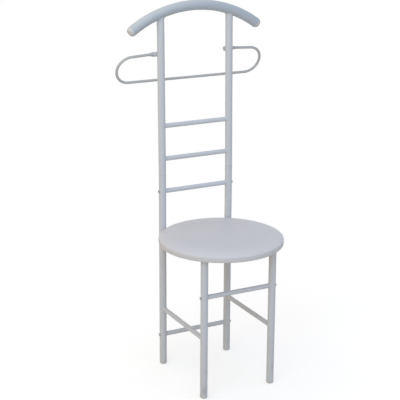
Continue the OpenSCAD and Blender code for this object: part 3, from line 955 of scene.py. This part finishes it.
def seen_rays(finish):
    """1 for rays from the camera and those that a shiny or clear surface sends on, else 0."""
    camera = finish.node("ShaderNodeLightPath", output="Is Camera Ray")
    glossy = finish.node("ShaderNodeLightPath", output="Is Glossy Ray")
    clear = finish.node("ShaderNodeLightPath", output="Is Transmission Ray")
    return finish.larger(finish.larger(camera, glossy), clear)


def light_on_floor(stage):
    """What falls on the open floor, as a colour: the room's light and the far lamp's."""
    # Each wall's light, and the ceiling's, fades with the cosine of the angle to it. These are
    # the shares of it that fall on a level floor
    wall_share = 2 / (3 * math.pi)
    ceiling_share = 2 / 3
    lamp = stage.key * math.sin(stage.key_height) / math.pi
    walls = (stage.left_wall, stage.right_wall, stage.front_wall, stage.back_wall)
    parts = zip(zip(*walls), stage.ceiling, stage.key_tint)
    return [wall_share * sum(around) + ceiling_share * over + lamp * tint for around, over, tint in parts]


def pale_floor(stage):
    """A floor that looks white and keeps its shadow, and throws back less light than it shows."""
    f = Finish("pale_floor")
    glow = tuple(1.0 - c * lit for c, lit in zip(stage.floor, light_on_floor(stage)))
    return f.surface(
        Base_Color=stage.floor,
        Roughness=1.0,
        Specular_IOR_Level=0.0,
        Emission_Color=f.mix(seen_rays(f), BLACK, glow),
        Emission_Strength=1.0,
    )


def white_world(stage):
    """A world that looks white and lights the object softly from all round."""
    f = Finish("soft_room", bpy.data.worlds.new("soft_room"))
    towards = f.node("ShaderNodeTexCoord", output="Generated")
    lobes = (
        (-RIGHT, stage.left_wall),
        (RIGHT, stage.right_wall),
        (-REAR, stage.front_wall),
        (REAR, stage.back_wall),
        (UP, stage.ceiling),
    )
    cosine = {"operation": "DOT_PRODUCT"}
    room = BLACK
    for axis, light in lobes:
        facing = f.node("ShaderNodeVectorMath", cosine, {0: towards, 1: axis}, "Value")
        tinted = f.mix(f.larger(facing, 0.0), BLACK, light)
        room = f.node("ShaderNodeVectorMath", {"operation": "ADD"}, {0: room, 1: tinted})
    shown = f.mix(seen_rays(f), room, WHITE)
    light = f.node("ShaderNodeBackground", None, {"Color": shown, "Strength": 1.0})
    return f.output("ShaderNodeOutputWorld", light)


def direction(azimuth, elevation):
    """The direction from the object towards a camera or lamp at these angles."""
    flat = math.cos(elevation)
    return Vector((-math.sin(azimuth) * flat, -math.cos(azimuth) * flat, math.sin(elevation)))


def lay_floor(stage):
    """The floor, a wide square."""
    reach = stage.floor_reach
    signs = ((-1, -1), (1, -1), (1, 1), (-1, 1))
    corners = [(reach * across, reach * deep, FLOOR_Z) for across, deep in signs]
    mesh = bpy.data.meshes.new("floor")
    mesh.from_pydata(corners, [], [(0, 1, 2, 3)])
    mesh.materials.append(pale_floor(stage))
    new_object("floor", mesh)


def set_lamp(lamp, place, towards):
    """Puts a lamp at a place; towards points from the object back to the lamp."""
    holder = new_object(lamp.name, lamp)
    holder.location = place
    holder.rotation_euler = towards.to_track_quat("Z", "Y").to_euler()
    holder.visible_camera = False


def set_panel(name, power, tint, side, place, aim):
    """A square lamp that shines from its place towards its aim."""
    lamp = bpy.data.lights.new(name, "AREA")
    lamp.energy = power
    lamp.color = tint
    lamp.size = side
    set_lamp(lamp, place, place - aim)


def hang_lamps(stage):
    """A wide far lamp, a near lamp on the same side and a small one above the arch's left arm."""
    far = bpy.data.lights.new("far_lamp", "SUN")
    far.energy = stage.key
    far.color = stage.key_tint
    far.angle = stage.key_width
    # Only its direction counts, so its place is just clear of the chair
    overhead = Vector((0, 0, 3))
    set_lamp(far, overhead, direction(stage.key_azimuth, stage.key_height))

    place = stage.near_distance * direction(stage.key_azimuth, 0.0)
    place.z = stage.near_height
    aim = Vector((0, 0, stage.near_aim))
    set_panel("near_lamp", stage.near, stage.near_tint, stage.near_size, place, aim)

    place = Vector((-stage.top_x, POST_Y - stage.top_y, stage.top_height))
    aim = Vector((-POST_X, POST_Y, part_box("hanger_arch")[1].z))
    set_panel("top_lamp", stage.top, stage.top_tint, stage.top_size, place, aim)


def set_camera(stage):
    """The camera, on a line through its target."""
    data = bpy.data.cameras.new("camera")
    data.sensor_width = 36.0
    data.lens = stage.lens
    camera = new_object("camera", data)
    target = Vector((stage.target_x, POST_Y + stage.target_y, stage.target_z))
    back = direction(stage.azimuth, stage.elevation)
    level = back.to_track_quat("Z", "Y").to_matrix().to_4x4()
    tilt = Matrix.Rotation(stage.roll, 4, "Z")
    camera.matrix_world = Matrix.Translation(target + stage.distance * back) @ level @ tilt
    bpy.context.scene.camera = camera


class VALET_OT_stage(Operator):
    """Sets up the floor, the world, the lamps and the camera"""

    bl_idname = "valet.stage"
    bl_label = "Stage"

    def execute(self, context):
        stage = context.scene.valet_stage
        lay_floor(stage)
        context.scene.world = white_world(stage)
        hang_lamps(stage)
        set_camera(stage)
        context.scene.view_settings.view_transform = "Standard"
        return {"FINISHED"}


# ---- Add-on ----

GROUPS = {
    "valet_frame": FrameFinish,
    "valet_welds": WeldSizes,
    "valet_bow": BowSizes,
    "valet_seat": SeatSizes,
    "valet_stage": StageSettings,
}
STEPS = (
    VALET_OT_stage,
    VALET_OT_finish_frame,
    VALET_OT_weld_beads,
    VALET_OT_trouser_bow,
    VALET_OT_seat_cushion,
)


class VALET_PT_panel(Panel):
    """Lists the valet chair's settings and pieces in the 3D view's sidebar"""

    bl_idname = "VALET_PT_panel"
    bl_label = "Valet chair"
    bl_space_type = "VIEW_3D"
    bl_region_type = "UI"
    bl_category = "Valet chair"

    def draw(self, context):
        scene = context.scene
        for settings in GROUPS:
            box = self.layout.box()
            group = getattr(scene, settings)
            for name in group.__annotations__:
                box.prop(group, name)
        for operator in STEPS:
            self.layout.operator(operator.bl_idname)


def register():
    """Registers the settings, the operators and the panel."""
    for name, group in GROUPS.items():
        bpy.utils.register_class(group)
        setattr(bpy.types.Scene, name, PointerProperty(type=group))
    for kind in (*STEPS, VALET_PT_panel):
        bpy.utils.register_class(kind)


def unregister():
    """Takes away what register added."""
    for kind in reversed((*STEPS, VALET_PT_panel)):
        bpy.utils.unregister_class(kind)
    for name, group in GROUPS.items():
        delattr(bpy.types.Scene, name)
        bpy.utils.unregister_class(group)


def main():
    """Builds the whole chair."""
    register()
    bpy.ops.valet.stage()
    bpy.ops.valet.finish_frame()
    bpy.ops.valet.weld_beads()
    bpy.ops.valet.trouser_bow()
    bpy.ops.valet.seat_cushion()


if __name__ == "__main__":
    main()
